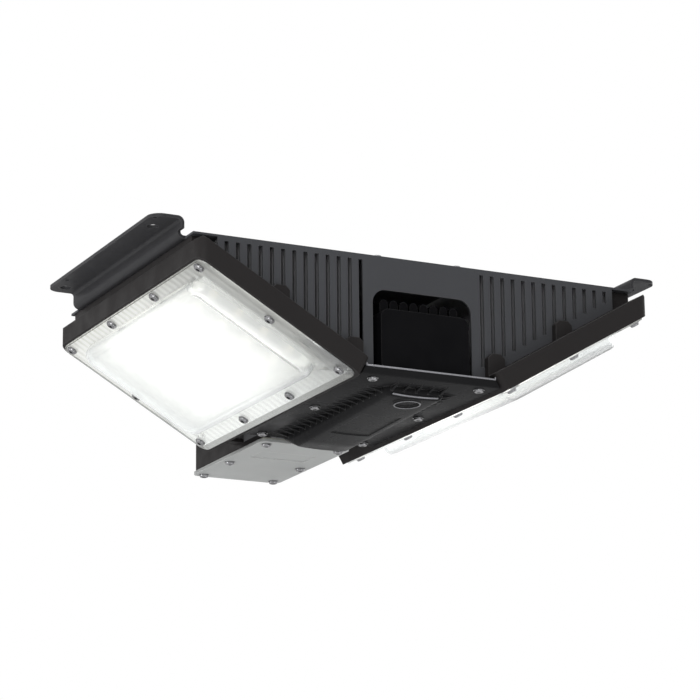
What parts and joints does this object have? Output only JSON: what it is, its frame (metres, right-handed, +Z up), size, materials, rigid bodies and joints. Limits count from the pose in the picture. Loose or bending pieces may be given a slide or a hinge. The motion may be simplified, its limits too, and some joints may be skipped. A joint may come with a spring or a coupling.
{
  "type": "led tunnel light",
  "caption": "Ceiling-hung tunnel light: tilted finned LED lamps with clear lenses either side of a covered driver spine, slotted end plates and folded ceiling brackets.",
  "frame": {"origin": "centre of the four ceiling holes, on the top faces of the two brackets", "axes": "+Z up into the ceiling, +X to the right seen from the front, +Y to the rear, towards the junction box"},
  "size_m": [0.512, 0.4248, 0.1453],
  "materials": {
    "cast_black": "satin black powder coat on cast aluminium",
    "plate_grey": "satin dark grey powder coat on sheet steel",
    "bracket_grey": "satin dark grey powder coat on folded steel strip",
    "cover_black": "semi-gloss black paint on cast aluminium",
    "cover_grey": "satin mid grey paint on cast aluminium",
    "lens_clear": "clear moulded polycarbonate, polished",
    "seal_grey": "matt grey silicone seal",
    "reflector_bright": "bright pressed aluminium sheet",
    "board_white": "white solder mask on an aluminium core",
    "led_package": "phosphor-filled LED packages, lit",
    "steel": "plain stainless steel",
    "driver_case": "plain folded aluminium case",
    "terminal_plastic": "moulded nylon",
    "gland_plastic": "black moulded nylon"
  },
  "bodies": {
    "root": {"left_lamp_housing": "cast_black", "left_led_board": "board_white", "left_led_chips": "led_package", "left_reflector": "reflector_bright", "left_lens_gasket": "seal_grey", "left_lens": "lens_clear", "left_lens_screws": "steel", "left_mounting_bracket": "bracket_grey", "left_bracket_bolts": "steel", "right_lamp_housing": "cast_black", "right_led_board": "board_white", "right_led_chips": "led_package", "right_reflector": "reflector_bright", "right_lens_gasket": "seal_grey", "right_lens": "lens_clear", "right_lens_screws": "steel", "right_mounting_bracket": "bracket_grey", "right_bracket_bolts": "steel", "front_end_plate": "plate_grey", "rear_end_plate": "plate_grey", "end_plate_screws": "steel", "top_plate": "plate_grey", "top_plate_screws": "steel", "driver_housing": "cast_black", "driver_cover": "cover_black", "driver_gasket": "seal_grey", "driver_cover_screws": "steel", "led_driver": "driver_case", "junction_box": "cast_black", "junction_cover": "cover_grey", "junction_gasket": "seal_grey", "junction_screws": "steel", "terminal_block": "terminal_plastic", "cable_gland": "gland_plastic", "gland_nut": "gland_plastic", "gland_lock_nut": "gland_plastic"}
  },
  "joints": []
}
